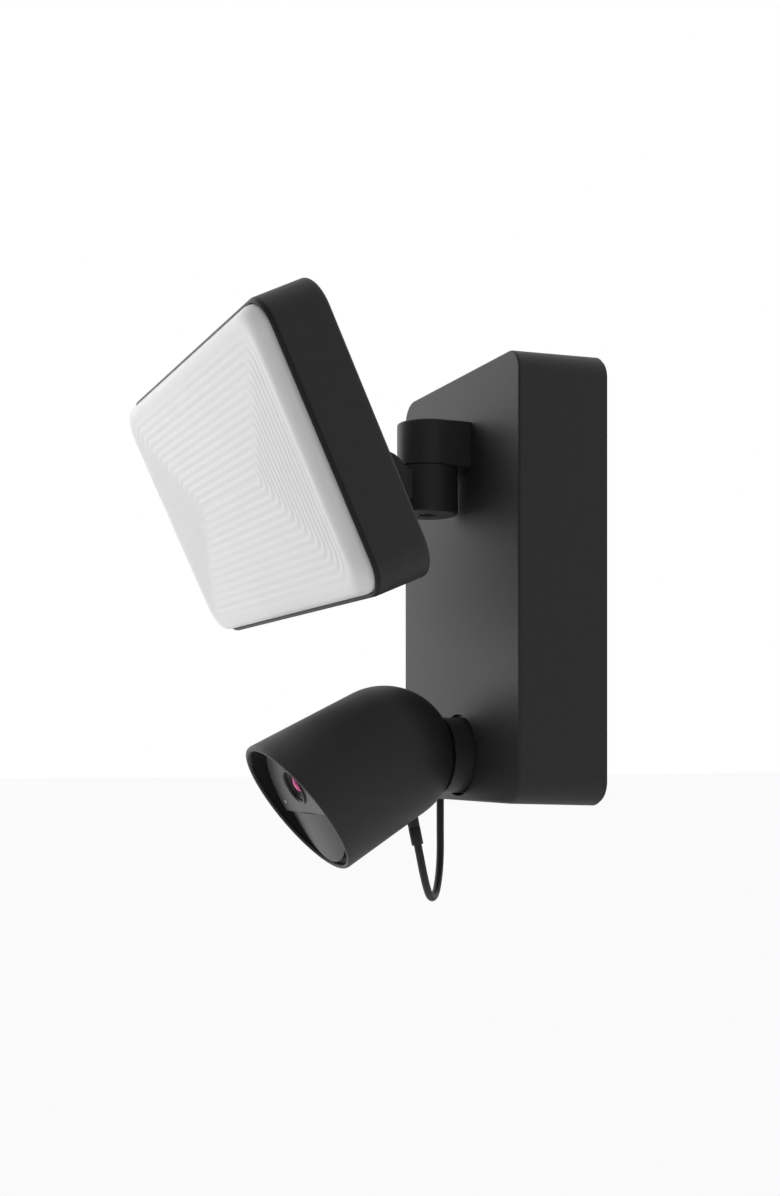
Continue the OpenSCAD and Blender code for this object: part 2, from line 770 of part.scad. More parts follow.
module magnet_keeper() {
    color("#85888c") in_camera() difference() {
        union() {
            // Dish that follows the inside of the dome
            rotate([180 - cam_tilt, 0, 0]) rotate_extrude() intersection() {
                difference() {
                    circle(keeper_r);
                    circle(keeper_r - keeper_t);
                }
                translate([0, keeper_r * cos(keeper_half)]) square(keeper_r);
            }
            rotate([180 - cam_tilt, 0, 0]) translate([0, 0, strap_r - strap_t / 3])
                cylinder(r = keeper_stem_r, h = keeper_r - strap_r - keeper_t / 5, $fn = small_fn);
            // Strap behind the camera's works, from the upper pin to the ring on the socket
            rotate([0, 90, 0]) rotate([0, 0, -90]) translate([0, 0, -strap_w / 2])
                linear_extrude(strap_w) strap_profile();
            rotate([-90, 0, 0]) translate([0, 0, strap_r - strap_t])
                cylinder(r = strap_w / 2, h = strap_t - hair, $fn = small_fn);
            rotate([-90, 0, 0]) translate([0, 0, strap_r - strap_t])
                cylinder(r = keeper_pin_r, h = strap_t + keeper_pin_l, $fn = small_fn);
            rotate([90, 0, 0]) translate([0, 0, strap_r - strap_t])
                cylinder(r = socket_r + keeper_ring_w, h = strap_t, $fn = 48);
        }
        rotate([90, 0, 0]) translate([0, 0, strap_r / 2])
            cylinder(r = socket_r + run_fit, h = strap_r, $fn = 48);
    }
}

// Half ring behind the upright axis: x runs up and y runs back
module strap_profile() {
    intersection() {
        difference() {
            circle(strap_r);
            circle(strap_r - strap_t);
        }
        translate([-strap_r, 0]) square([2 * strap_r, strap_r]);
    }
}

module shell_outside() {
    rotate_extrude() {
        intersection() {
            circle(dome_r);
            translate([0, -dome_r]) square([dome_r, dome_r * (1 - sin(barrel_taper))]);
        }
        polygon([[0, -dome_r * sin(barrel_taper)], [dome_r * cos(barrel_taper), -dome_r * sin(barrel_taper)],
            [cone_r0 + 70 * taper_slope, 70], [0, 70]]);
    }
}

module shell_inside() {
    inner_r = dome_r - shell_t;
    inner_r0 = cone_r0 - shell_t;
    rotate_extrude() {
        intersection() {
            circle(inner_r);
            translate([0, -inner_r]) square([inner_r, inner_r * (1 - sin(barrel_taper))]);
        }
        polygon([[0, -inner_r * sin(barrel_taper)],
            [inner_r * cos(barrel_taper), -inner_r * sin(barrel_taper)],
            [inner_r0 + ledge_back * taper_slope, ledge_back], [0, ledge_back]]);
        translate([0, ledge_back - cut]) square([ledge_r, ledge_t + 2 * cut]);
        translate([0, chassis_back]) square([mouth_r, face_s - chassis_back]);
        polygon([[0, face_s - cut], [mouth_r, face_s - cut], [mouth_r + mouth_flare, rim_s],
            [mouth_r + mouth_flare + mouth_past[0], rim_s + mouth_past[1]], [0, rim_s + mouth_past[1]]]);
    }
}

module camera_shell() {
    color("#2b2b2d") difference() {
        shell_with_boss();
        in_plug() cylinder(r = plug_r + plug_gap, h = plug_l, $fn = small_fn);
    }
}

module shell_with_boss() {
    in_camera() difference() {
        union() {
            difference() {
                shell_outside();
                shell_inside();
            }
            // Boss for the keeper's upper pin
            rotate([-90, 0, 0]) translate([0, 0, strap_r + 0.4])
                cylinder(r = keeper_boss_r, h = dome_r - shell_t - strap_r + 0.6, $fn = small_fn);
        }
        rotate([-90, 0, 0]) translate([0, 0, strap_r])
            cylinder(r = keeper_pin_r + run_fit, h = keeper_pin_l + 0.9, $fn = small_fn);
        translate([0, 0, rim_s]) rotate([rim_slant, 0, 0]) translate([-rim_s, -rim_s, 0]) cube(2 * rim_s);
    }
}

module camera_face() {
    color("#343436") in_camera() translate([0, 0, face_back]) difference() {
        cylinder(r = mouth_r - 0.2, h = face_t);
        translate([-50, split_up - 100, -cut]) cube(100);
        translate([0, lens_up, -cut]) cylinder(r = lens_r + run_fit, h = 10, $fn = 64);
        translate([status_x, status_up, -cut]) cylinder(r = status_r + run_fit, h = 10, $fn = small_fn);
    }
}

module pir_window() {
    color("#39393b") in_camera() intersection() {
        translate([0, 0, face_back]) cylinder(r = mouth_r - 0.2, h = 10);
        translate([-50, split_up - split_gap - 100, 0]) cube([100, 100, 100]);
        translate([0, 60, face_s + pir_rise - pir_bow_r]) rotate([90, 0, 0])
            cylinder(r = pir_bow_r, h = 120, $fn = 360);
    }
}

module camera_chassis() {
    color("#48494b") in_camera() difference() {
        union() {
            translate([0, 0, chassis_back]) cylinder(r = mouth_r - 0.2, h = chassis_t);
            for (x = [-1, 1], y = [-1, 1]) translate([x * post_xy, y * post_xy, board_s + pcb_t])
                cylinder(r = post_r, h = chassis_back - board_s - pcb_t + sink, $fn = small_fn);
        }
        translate([0, lens_up, chassis_back - cut]) cylinder(r = lens_r + run_fit, h = 10, $fn = 64);
        translate([0, pir_sensor_up, chassis_back - cut]) cylinder(r = pir_view_r, h = 10, $fn = small_fn);
        translate([status_x, status_up, chassis_back - cut])
            cylinder(r = status_r + run_fit, h = 10, $fn = small_fn);
    }
}

module pir_sensor() {
    color("#a7a9ad") in_camera() translate([0, pir_sensor_up, board_s + pcb_t]) {
        cylinder(r = pir_sensor_r[0], h = 1, $fn = small_fn);
        cylinder(r = pir_sensor_r[1], h = pir_sensor_h, $fn = small_fn);
    }
}

module lens_ring() {
    color("#141415") in_camera() translate([0, lens_up, 0]) rotate_extrude() {
        translate([lens_r - lens_bezel_w, chassis_back]) square([lens_bezel_w, face_s - chassis_back]);
        translate([lens_r - lens_bezel_w, face_s - 0.1]) polygon([[0, 0], [lens_bezel_w, 0],
            [lens_bezel_w - 0.5, lens_rise], [0.5, lens_rise]]);
    }
}

module lens_barrel() {
    outer = lens_r - lens_bezel_w - hair;
    color("#0e0e0f") in_camera() translate([0, lens_up, 0]) rotate_extrude() difference() {
        translate([0, image_s]) square([outer, face_s - barrel_set_back - image_s]);
        translate([-cut, image_s + lens_base_t]) square([lens_bore_r + cut, glass_s - image_s]);
        polygon([[-cut, glass_s], [glass_r + hair, glass_s], [lens_mouth_r, face_s - barrel_set_back],
            [lens_mouth_r, face_s], [-cut, face_s]]);
    }
}

module lens_glass() {
    color([0.35, 0.1, 0.3, 0.8]) in_camera() translate([0, lens_up, glass_s]) rotate_extrude()
        intersection() {
            translate([0, glass_rise - glass_bow_r]) circle(glass_bow_r);
            square([glass_r, glass_rise]);
        }
}

module image_board() {
    color("#1f5a36") in_camera() translate([0, lens_up, image_s - pcb_t]) {
        linear_extrude(pcb_t) square(image_board_w, center = true);
        translate([0, 0, -image_plug[2]]) linear_extrude(image_plug[2] + hair)
            square([image_plug[0], image_plug[1]], center = true);
    }
}

module camera_board() {
    color("#1f5a36") in_camera() translate([0, 0, board_s]) {
        cylinder(r = board_r, h = pcb_t);
        for (c = camera_chips) translate([c[0], c[1], -c[4]]) linear_extrude(c[4] + hair)
            square([c[2], c[3]], center = true);
    }
}

module status_light() {
    color("#d9dadb") in_camera() translate([status_x, status_up, chassis_back])
        cylinder(r = status_r, h = face_s - chassis_back + hair, $fn = small_fn);
}

module speaker() {
    color("#5a5b5e") in_camera() translate(speaker_at) rotate([90, 0, 0]) {
        cylinder(r = speaker_r[0], h = speaker_t, $fn = 48);
        translate([0, 0, -magnet_out]) cylinder(r = speaker_r[1], h = magnet_out + 0.5, $fn = 48);
    }
}

module microphone() {
    color("#b7a66a") in_camera() translate([microphone_at[0], microphone_at[1], board_s + pcb_t])
        linear_extrude(microphone_size[2]) square([microphone_size[0], microphone_size[1]], center = true);
}

module plug_socket() {
    color("#333437") difference() {
        in_camera() rotate([90, 0, 0]) translate([0, 0, socket_in])
            cylinder(r = socket_r, h = dome_r - shell_t - socket_gap - socket_in, $fn = 48);
        in_plug() {
            translate([0, 0, -plug_tip_l - 1])
                cylinder(r = plug_tip_r + hair, h = 2 * plug_tip_l, $fn = small_fn);
            translate([0, 0, -plug_gap]) cylinder(r = plug_r + plug_gap, h = plug_l, $fn = small_fn);
        }
    }
}

module camera_plug() {
    color("#161617") in_plug() {
        translate([0, 0, -plug_tip_l]) cylinder(r = plug_tip_r, h = plug_tip_l + cut, $fn = small_fn);
        cylinder(r = plug_r, h = plug_l, $fn = small_fn);
    }
}

wall_plate();
wall_gasket();
housing_cover();
cover_screws();
power_supply();
terminal_block();
main_board();
light_arm();
arm_screws();
swivel_bolt();
camera_collar();
collar_screws();
collar_magnet();
cup_liner();
cable_grommet();
camera_cable();
swivel_barrel();
swivel_washer();
head_housing();
driver_cover();
driver_screws();
driver_board();
head_yoke();
yoke_screws();
tilt_bolt();
tilt_nut();
tilt_washers();
heat_spreader();
led_board();
leds();
diffuser();
diffuser_seal();
magnet_keeper();
camera_shell();
camera_face();
pir_window();
camera_chassis();
pir_sensor();
lens_ring();
lens_barrel();
lens_glass();
image_board();
camera_board();
status_light();
speaker();
microphone();
plug_socket();
camera_plug();
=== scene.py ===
"""Looks of the floodlight security camera: finer shells, procedural finishes, lead, view and light."""
import json
import math

import bmesh
import bpy
from mathutils import Matrix, Vector
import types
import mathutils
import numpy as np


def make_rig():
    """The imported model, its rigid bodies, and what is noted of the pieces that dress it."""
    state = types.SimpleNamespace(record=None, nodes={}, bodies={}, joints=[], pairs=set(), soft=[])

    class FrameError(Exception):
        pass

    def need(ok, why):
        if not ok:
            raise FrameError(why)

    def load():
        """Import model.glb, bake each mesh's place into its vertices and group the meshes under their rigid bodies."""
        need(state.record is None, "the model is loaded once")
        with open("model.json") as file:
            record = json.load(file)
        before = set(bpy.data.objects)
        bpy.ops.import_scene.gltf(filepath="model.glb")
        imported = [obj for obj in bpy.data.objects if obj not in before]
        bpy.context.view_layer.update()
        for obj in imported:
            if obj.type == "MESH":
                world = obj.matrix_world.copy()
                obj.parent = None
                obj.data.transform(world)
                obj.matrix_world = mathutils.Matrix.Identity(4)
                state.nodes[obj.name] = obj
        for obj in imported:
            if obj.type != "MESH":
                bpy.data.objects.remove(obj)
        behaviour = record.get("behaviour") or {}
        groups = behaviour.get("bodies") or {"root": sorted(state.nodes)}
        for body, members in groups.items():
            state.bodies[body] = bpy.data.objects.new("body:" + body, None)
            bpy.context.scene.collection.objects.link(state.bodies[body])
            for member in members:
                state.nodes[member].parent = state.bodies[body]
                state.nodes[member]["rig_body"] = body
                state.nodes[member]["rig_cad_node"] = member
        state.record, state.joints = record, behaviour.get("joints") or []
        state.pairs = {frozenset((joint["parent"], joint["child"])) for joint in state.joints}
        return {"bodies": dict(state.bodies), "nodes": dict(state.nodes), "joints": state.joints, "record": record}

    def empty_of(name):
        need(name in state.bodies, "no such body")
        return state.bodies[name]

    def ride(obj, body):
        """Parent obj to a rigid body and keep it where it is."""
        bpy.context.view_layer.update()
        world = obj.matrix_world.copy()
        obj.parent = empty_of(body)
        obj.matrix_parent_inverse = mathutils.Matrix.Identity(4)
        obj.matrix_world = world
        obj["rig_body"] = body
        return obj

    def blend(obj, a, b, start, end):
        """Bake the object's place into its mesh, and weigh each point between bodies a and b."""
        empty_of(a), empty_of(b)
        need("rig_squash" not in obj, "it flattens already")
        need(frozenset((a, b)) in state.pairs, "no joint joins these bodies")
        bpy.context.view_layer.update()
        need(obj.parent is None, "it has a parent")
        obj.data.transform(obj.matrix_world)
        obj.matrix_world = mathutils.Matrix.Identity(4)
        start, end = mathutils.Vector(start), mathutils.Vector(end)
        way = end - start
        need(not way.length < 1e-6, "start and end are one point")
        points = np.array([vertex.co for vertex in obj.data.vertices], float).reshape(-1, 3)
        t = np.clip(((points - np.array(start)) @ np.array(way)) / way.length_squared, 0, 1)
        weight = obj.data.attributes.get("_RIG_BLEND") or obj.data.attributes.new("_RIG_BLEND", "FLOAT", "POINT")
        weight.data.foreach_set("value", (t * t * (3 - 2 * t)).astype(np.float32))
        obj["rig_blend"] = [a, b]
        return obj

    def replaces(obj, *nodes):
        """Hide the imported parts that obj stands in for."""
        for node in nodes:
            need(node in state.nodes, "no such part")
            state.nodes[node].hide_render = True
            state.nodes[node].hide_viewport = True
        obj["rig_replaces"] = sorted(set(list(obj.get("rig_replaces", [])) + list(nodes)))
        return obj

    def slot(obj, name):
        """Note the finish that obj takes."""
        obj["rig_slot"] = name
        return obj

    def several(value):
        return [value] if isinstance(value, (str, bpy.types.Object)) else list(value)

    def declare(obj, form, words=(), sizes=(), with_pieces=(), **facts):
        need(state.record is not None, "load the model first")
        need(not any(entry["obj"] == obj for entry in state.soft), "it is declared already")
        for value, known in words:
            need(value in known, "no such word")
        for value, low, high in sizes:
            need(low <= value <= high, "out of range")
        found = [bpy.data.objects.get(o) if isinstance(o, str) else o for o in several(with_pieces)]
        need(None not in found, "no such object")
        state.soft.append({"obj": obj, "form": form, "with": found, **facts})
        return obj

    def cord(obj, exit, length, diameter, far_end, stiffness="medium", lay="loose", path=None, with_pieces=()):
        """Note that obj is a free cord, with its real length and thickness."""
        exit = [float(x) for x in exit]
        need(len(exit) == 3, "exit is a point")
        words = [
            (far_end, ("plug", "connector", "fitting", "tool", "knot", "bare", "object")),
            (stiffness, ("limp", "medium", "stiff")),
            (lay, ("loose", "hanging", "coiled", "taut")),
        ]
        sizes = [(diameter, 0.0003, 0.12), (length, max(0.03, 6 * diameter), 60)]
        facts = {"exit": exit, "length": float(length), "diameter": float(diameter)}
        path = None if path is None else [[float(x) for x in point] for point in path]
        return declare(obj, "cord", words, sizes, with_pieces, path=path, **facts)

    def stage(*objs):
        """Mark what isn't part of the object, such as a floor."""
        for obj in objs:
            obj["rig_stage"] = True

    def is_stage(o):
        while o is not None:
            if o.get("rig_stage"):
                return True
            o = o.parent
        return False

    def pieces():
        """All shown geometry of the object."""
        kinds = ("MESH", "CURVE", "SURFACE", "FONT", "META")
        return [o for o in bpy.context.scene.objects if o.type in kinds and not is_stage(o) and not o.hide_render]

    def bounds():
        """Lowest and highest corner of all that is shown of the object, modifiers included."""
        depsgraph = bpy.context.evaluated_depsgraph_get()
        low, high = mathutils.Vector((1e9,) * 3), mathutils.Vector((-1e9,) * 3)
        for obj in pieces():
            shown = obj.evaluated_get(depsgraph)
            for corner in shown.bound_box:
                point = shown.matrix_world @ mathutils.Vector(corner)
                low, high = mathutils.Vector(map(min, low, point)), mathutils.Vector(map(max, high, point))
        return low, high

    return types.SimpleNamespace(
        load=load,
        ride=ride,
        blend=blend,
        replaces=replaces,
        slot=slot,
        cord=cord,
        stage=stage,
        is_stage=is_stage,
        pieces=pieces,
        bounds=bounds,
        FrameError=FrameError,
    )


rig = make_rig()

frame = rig.load()
CAD_BOX = [list(corner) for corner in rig.bounds()]

MM = 0.001
NODES = frame["nodes"]
JOINTS = {joint["name"]: joint for joint in frame["joints"]}

# ---- Measures shared with the CAD model, in metres ----

TILT_PIVOT = Vector(JOINTS["light_tilt"]["pos_m"])
DOME = Vector(JOINTS["camera_pan"]["pos_m"])
PAN_AXIS = Vector(JOINTS["camera_pan"]["axis"])
HEAD_TILT = math.radians(24.9)
CAMERA_TILT = math.atan2(-PAN_AXIS.y, PAN_AXIS.z)

# The head's own frame (tilt axis at the origin, head level) and the camera's own frame
# (dome centre at the origin, x right, y up, z along the line of sight)
IN_HEAD = Matrix.Translation(TILT_PIVOT) @ Matrix.Rotation(HEAD_TILT, 4, "X")
IN_CAMERA = (Matrix.Translation(DOME) @ Matrix.Rotation(CAMERA_TILT, 4, "X")
             @ Matrix.Rotation(math.pi / 2, 4, "X"))

HEAD_W = 233 * MM
HEAD_H = 141.2 * MM
HEAD_D = 29 * MM
HEAD_R = 16 * MM
HEAD_DRAFT = 0.85 * MM
HEAD_BACK = -39.8 * MM
HEAD_FRONT = HEAD_BACK - HEAD_D
HEAD_MID = 22 * MM
HEAD_FRONT_EDGE = 2.4 * MM
HEAD_BACK_EDGE = 1.8 * MM
LIP = 2.1 * MM
# Depth of the band of painted shade on the casing's front lip
LIP_SHADE_BAND = 2.1 * MM
LIP_CORNER = 0.3 * MM
LIP_CHAMFER = 0.08 * MM
POCKET = 8 * MM

DIFFUSER_GAP = 0.4 * MM
DIFFUSER_RISE = 7.4 * MM
DIFFUSER_W = HEAD_W - 2 * (LIP + DIFFUSER_GAP)
DIFFUSER_H = HEAD_H - 2 * (LIP + DIFFUSER_GAP)
DIFFUSER_R = HEAD_R - LIP - DIFFUSER_GAP
DIFFUSER_EDGE = 6.5 * MM
DIFFUSER_SEAT = 1.6 * MM
BORDER = 7.2 * MM
WAVE_PITCH = 4.15 * MM
WAVE_HEIGHT = 0.3 * MM
WAVE_STEPS = 8

DOME_R = 37.1 * MM
TAPER = math.radians(3)
RIM_S = 57 * MM
RIM_SLANT = math.radians(8)
RIM_LIP = 2.1 * MM
RIM_LIP_ROUND = 0.75
LIP_IN_R = 37.3 * MM
MOUTH_R = 34.6 * MM
MOUTH_PAST_FACE = 3.2 * MM
FACE_S = 52 * MM
SHELL_SIDES = 160

LENS_UP = 11 * MM
GLASS_R = 5.6 * MM
GLASS_BULGE_R = 9.5 * MM
GLASS_SET_BACK = 0.3 * MM
GLASS_DEPTH = 3.4 * MM

CABLE_R = 2.15 * MM
PLUG_R = 3.2 * MM
PLUG_L = 22.5 * MM
PLUG_LEAN = math.radians(17)
PLUG_PIVOT = 30 * MM
IN_PLUG = (IN_CAMERA @ Matrix.Translation((0, -PLUG_PIVOT, 0))
           @ Matrix.Rotation(math.pi / 2 - PLUG_LEAN, 4, "X"))

# The lead's middle line in millimetres, from the plug to the grommet, as in the CAD model
CABLE_ROUTE = [
    (0, -75.1, -139.1), (-0.2, -73.9, -144.2), (-1.3, -72.3, -149.5), (-3.6, -70.1, -154.8),
    (-7.2, -67.2, -160.1), (-11.6, -63.9, -164.6), (-16.2, -60.5, -167.9), (-21, -56.8, -169.8),
    (-25.8, -53.1, -169.5), (-30.3, -49.6, -167), (-34.2, -46.7, -162.5), (-37.3, -44.4, -156.7),
    (-39.6, -42.8, -149.9), (-40.7, -42.1, -142.7), (-41, -42, -134), (-41, -42, -125),
    (-41, -42, -115.6)]
CABLE_SIDES = 16
ROUTE_STEPS = 5
LEAD_IN_PLUG = 3 * MM
# The lead's rings that bend with the pan joint, and those at its far end that stay still
PAN_RINGS = 22
STILL_RINGS = 12

# ---- View, floor and light ----

VIEW_PLACE = (0.7015, -0.400, -0.0874)
VIEW_TURN = math.radians(23.74)
VIEW_LENS = 43.25
VIEW_SHIFT = 0.1266
VIEW_REACH = 50
SENSOR_W = 36

# Name, place, aim, size and watts of each lamp
LAMPS = [
    ("key", (-1.1, -0.9, 0.5), (0, -0.1, 0), (1.2, 1.5), 8),
    ("fill", (0.25, -1.3, -0.5), (0, -0.12, 0), (1.2, 1.0), 0.7),
    ("low", (-1.3, -0.35, -0.45), (0, -0.12, -0.08), (0.9, 0.8), 2.2)]

# The tent's brightest side, and its strength from the darkest side to the brightest
TENT_SIDE = (-0.72, 0.66, 0.2)
TENT_SPAN = (-0.75, 0.85)
TENT_STRENGTH = (0.2, 1.0)

FLOOR_Z = -0.9
FLOOR_REACH = 40
FLOOR_GREY = 0.8
FLOOR_SEEN = 0.96
FLOOR_ROUGH = 0.9


def make_camera():
    """A level camera to the right of the object and a little below its middle."""
    data = bpy.data.cameras.new("view")
    data.sensor_width = SENSOR_W
    data.lens = VIEW_LENS
    data.shift_y = VIEW_SHIFT
    data.clip_end = VIEW_REACH
    forward = Vector((-math.cos(VIEW_TURN), math.sin(VIEW_TURN), 0))
    right = Vector((math.sin(VIEW_TURN), math.cos(VIEW_TURN), 0))
    up = Vector((0, 0, 1))
    pose = Matrix((right, up, -forward)).transposed().to_4x4()
    pose.translation = Vector(VIEW_PLACE)
    view = bpy.data.objects.new("view", data)
    view.matrix_world = pose
    bpy.context.collection.objects.link(view)
    bpy.context.scene.camera = view


def make_light(name, place, aim, size, watts):
    """A soft rectangular lamp."""
    data = bpy.data.lights.new(name, "AREA")
    data.shape = "RECTANGLE"
    data.size, data.size_y = size
    data.energy = watts
    light = bpy.data.objects.new(name, data)
    light.location = place
    light.rotation_euler = (Vector(aim) - Vector(place)).to_track_quat("-Z", "Y").to_euler()
    bpy.context.collection.objects.link(light)


def split_by_ray(tree, lit, seen, output):
    """One shader for the view to see, and another that lights the object."""
    path = tree.nodes.new("ShaderNodeLightPath")
    mix = tree.nodes.new("ShaderNodeMixShader")
    tree.links.new(path.outputs["Is Camera Ray"], mix.inputs["Fac"])
    tree.links.new(lit, mix.inputs[1])
    tree.links.new(seen, mix.inputs[2])
    tree.links.new(mix.outputs["Shader"], output.inputs["Surface"])


def make_world():
    """A soft tent: white all round to look at, and brightest from the wall's left as light."""
    world = bpy.data.worlds.new("studio")
    world.use_nodes = True
    tree = world.node_tree
    tent = tree.nodes["Background"]
    place = tree.nodes.new("ShaderNodeTexCoord")
    along = tree.nodes.new("ShaderNodeVectorMath")
    along.operation = "DOT_PRODUCT"
    along.inputs[1].default_value = Vector(TENT_SIDE).normalized()
    ramp = tree.nodes.new("ShaderNodeMapRange")
    ramp.interpolation_type = "SMOOTHSTEP"
    ramp.inputs["From Min"].default_value = TENT_SPAN[0]
    ramp.inputs["From Max"].default_value = TENT_SPAN[1]
    ramp.inputs["To Min"].default_value = TENT_STRENGTH[0]
    ramp.inputs["To Max"].default_value = TENT_STRENGTH[1]
    tree.links.new(place.outputs["Generated"], along.inputs[0])
    tree.links.new(along.outputs["Value"], ramp.inputs["Value"])
    tree.links.new(ramp.outputs["Result"], tent.inputs["Strength"])
    tent.inputs["Color"].default_value = (1, 1, 1, 1)
    backdrop = tree.nodes.new("ShaderNodeBackground")
    backdrop.inputs["Color"].default_value = (1, 1, 1, 1)
    split_by_ray(tree, tent.outputs["Background"], backdrop.outputs["Background"],
                 tree.nodes["World Output"])
    bpy.context.scene.world = world


def make_studio():
    make_world()
    bpy.context.scene.view_settings.view_transform = "Standard"
    for lamp in LAMPS:
        make_light(*lamp)
    make_floor()


def make_floor():
    """A floor that is nearly white to look at, and a pale grey for the light that it bounces."""
    floor_mesh = bpy.data.meshes.new("floor")
    corners = [(-1, -1), (1, -1), (1, 1), (-1, 1)]
    floor_mesh.from_pydata([(x * FLOOR_REACH, y * FLOOR_REACH, 0) for x, y in corners], [], [(0, 1, 2, 3)])
    floor = bpy.data.objects.new("floor", floor_mesh)
    floor.location.z = FLOOR_Z
    bpy.context.collection.objects.link(floor)
    paint = bpy.data.materials.new("floor_paint")
    paint.use_nodes = True
    tree = paint.node_tree
    shader = tree.nodes["Principled BSDF"]
    shader.inputs["Base Color"].default_value = (FLOOR_GREY, FLOOR_GREY, FLOOR_GREY, 1)
    shader.inputs["Roughness"].default_value = FLOOR_ROUGH
    bright = tree.nodes.new("ShaderNodeEmission")
    bright.inputs["Color"].default_value = (FLOOR_SEEN, FLOOR_SEEN, FLOOR_SEEN, 1)
    split_by_ray(tree, shader.outputs["BSDF"], bright.outputs["Emission"], tree.nodes["Material Output"])
    floor_mesh.materials.append(paint)
    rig.stage(floor)


# ---- Mesh helpers ----

SAME_POINT = 1e-7


def make_piece(name, verts, faces, body, place=None, crease=35):
    """A closed mesh in the row frame, smooth except over edges sharper than crease."""
    mesh = bpy.data.meshes.new(name)
    mesh.from_pydata([tuple(v) for v in verts], [], faces)
    if place is not None:
        mesh.transform(place)
    work = bmesh.new()
    work.from_mesh(mesh)
    bmesh.ops.remove_doubles(work, verts=work.verts, dist=SAME_POINT)
    bmesh.ops.recalc_face_normals(work, faces=work.faces)
    work.to_mesh(mesh)
    work.free()
    mesh.shade_smooth()
    mesh.set_sharp_from_angle(angle=math.radians(crease))
    piece = bpy.data.objects.new(name, mesh)
    bpy.context.collection.objects.link(piece)
    if body:
        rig.ride(piece, body)
    return piece


def loft(rings, cap_first=True, cap_last=True):
    """Vertices and faces of a skin over rings that all have the same number of points."""
    count = len(rings[0])
    verts = [point for ring in rings for point in ring]
    faces = []
    for i in range(len(rings) - 1):
        for k in range(count):
            nxt = (k + 1) % count
            faces.append((i * count + k, i * count + nxt, (i + 1) * count + nxt, (i + 1) * count + k))
    if cap_first:
        faces.append(tuple(range(count))[::-1])
    if cap_last:
        faces.append(tuple(range((len(rings) - 1) * count, len(rings) * count)))
    return verts, faces


def rounded_ring(w, h, r, y, z_mid, corner=14):
    """Points round a rectangle with round corners, in a plane square to Y."""
    ring = []
    for k, (sx, sz) in enumerate(((1, 1), (-1, 1), (-1, -1), (1, -1))):
        for i in range(corner + 1):
            turn = math.radians(90 * k + 90 * i / corner)
            ring.append((sx * (w / 2 - r) + r * math.cos(turn), y,
                         z_mid + sz * (h / 2 - r) + r * math.sin(turn)))
    return ring


def arc(steps, start, end):
    """Angles in radians from start to end, both in degrees."""
    return [math.radians(start + (end - start) * i / steps) for i in range(steps + 1)]


def revolve(profile, segments):
    """Rings round Z from a list of (radius, z)."""
    return [[(r * math.cos(2 * math.pi * k / segments), r * math.sin(2 * math.pi * k / segments), z)
             for k in range(segments)] for r, z in profile]


# ---- Materials ----

# Noise keeps mostly to the middle of its range, so that middle is stretched
NOISE_SPAN = (0.3, 0.7)
PATCH_SCALE = 160
GLOSS_SPREAD = 0.012
GLOSS_PATCH = 1.7


def new_material(name):
    """A material with its node tree and its shader."""
    material = bpy.data.materials.new(name)
    material.use_nodes = True
    tree = material.node_tree
    return material, tree, tree.nodes["Principled BSDF"]


def add_noise(tree, scale, detail):
    """Noise that is fixed to the object's own frame."""
    place = tree.nodes.new("ShaderNodeTexCoord")
    noise = tree.nodes.new("ShaderNodeTexNoise")
    noise.inputs["Scale"].default_value = scale
    noise.inputs["Detail"].default_value = detail
    noise.inputs["Roughness"].default_value = 0.55
    tree.links.new(place.outputs["Object"], noise.inputs["Vector"])
    return noise


def add_range(tree, source, low, high):
    """Noise spread out between low and high."""
    spread = tree.nodes.new("ShaderNodeMapRange")
    spread.inputs["From Min"].default_value = NOISE_SPAN[0]
    spread.inputs["From Max"].default_value = NOISE_SPAN[1]
    spread.inputs["To Min"].default_value = low
    spread.inputs["To Max"].default_value = high
    tree.links.new(source, spread.inputs["Value"])
    return spread.outputs["Result"]


def add_mottle(tree, shader, colour, scale, share):
    """The base colour, a little lighter and darker in soft patches."""
    noise = add_noise(tree, scale, 4)
    mix = tree.nodes.new("ShaderNodeMix")
    mix.data_type = "RGBA"
    mix.inputs["A"].default_value = (*[c * (1 - share) for c in colour], 1)
    mix.inputs["B"].default_value = (*[min(1, c * (1 + share)) for c in colour], 1)
    tree.links.new(add_range(tree, noise.outputs["Fac"], 0, 1), mix.inputs["Factor"])
    tree.links.new(mix.outputs["Result"], shader.inputs["Base Color"])


def add_grain(tree, shader, scale, height):
    """Fine relief on the surface, height in metres."""
    noise = add_noise(tree, scale, 2)
    bump = tree.nodes.new("ShaderNodeBump")
    bump.inputs["Strength"].default_value = 1
    bump.inputs["Distance"].default_value = height
    tree.links.new(noise.outputs["Fac"], bump.inputs["Height"])
    tree.links.new(bump.outputs["Normal"], shader.inputs["Normal"])


def textured(name, colour, rough, grain=2600, height=0.00002, mottle=0.05, metallic=0.0,
             specular=0.42):
    """A moulded, cast or plated surface: base colour, grain and uneven gloss."""
    material, tree, shader = new_material(name)
    shader.inputs["Metallic"].default_value = metallic
    shader.inputs["Specular IOR Level"].default_value = specular
    add_mottle(tree, shader, colour, PATCH_SCALE, mottle)
    gloss = add_noise(tree, PATCH_SCALE * GLOSS_PATCH, 5)
    tree.links.new(add_range(tree, gloss.outputs["Fac"], rough - GLOSS_SPREAD, rough + GLOSS_SPREAD),
                   shader.inputs["Roughness"])
    add_grain(tree, shader, grain, height)
    return material


def opal(name):
    """Milky plastic that light soaks into."""
    material, tree, shader = new_material(name)
    shader.inputs["Roughness"].default_value = 0.42
    shader.inputs["Subsurface Weight"].default_value = 0.35
    shader.inputs["Subsurface Radius"].default_value = (0.006, 0.006, 0.006)
    shader.inputs["Subsurface Scale"].default_value = 1.0
    add_mottle(tree, shader, (0.92, 0.923, 0.923), 60, 0.01)
    add_grain(tree, shader, 3200, 0.000006)
    return material


